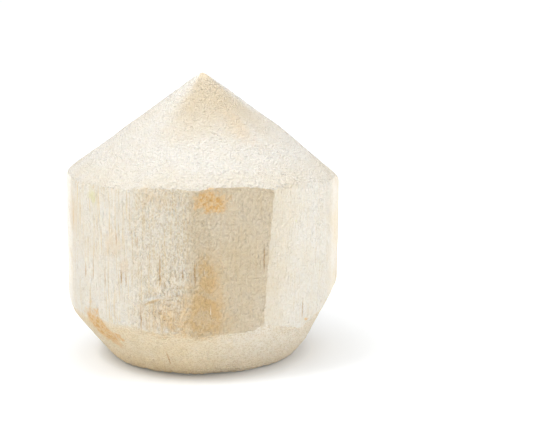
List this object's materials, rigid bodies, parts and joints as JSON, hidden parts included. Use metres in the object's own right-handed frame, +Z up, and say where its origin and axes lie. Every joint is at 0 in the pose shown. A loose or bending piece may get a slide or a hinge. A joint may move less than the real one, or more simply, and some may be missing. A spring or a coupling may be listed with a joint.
{
  "type": "trimmed young coconut",
  "caption": "Trimmed young coconut with its white husk pared to a pointed cone top, a faceted barrel and a bevelled flat foot to stand on.",
  "frame": {"origin": "middle of the bounding box on the plane that the flat foot rests on", "axes": "+Z up through the pointed top, -Y towards the front that shows the widest pared facet, +X to the right as seen from the front"},
  "size_m": [0.122, 0.1194, 0.1264],
  "materials": {
    "husk": "matte cut fibre, cream white with a few amber stains"
  },
  "bodies": {
    "root": {"coconut": "husk"}
  },
  "joints": []
}
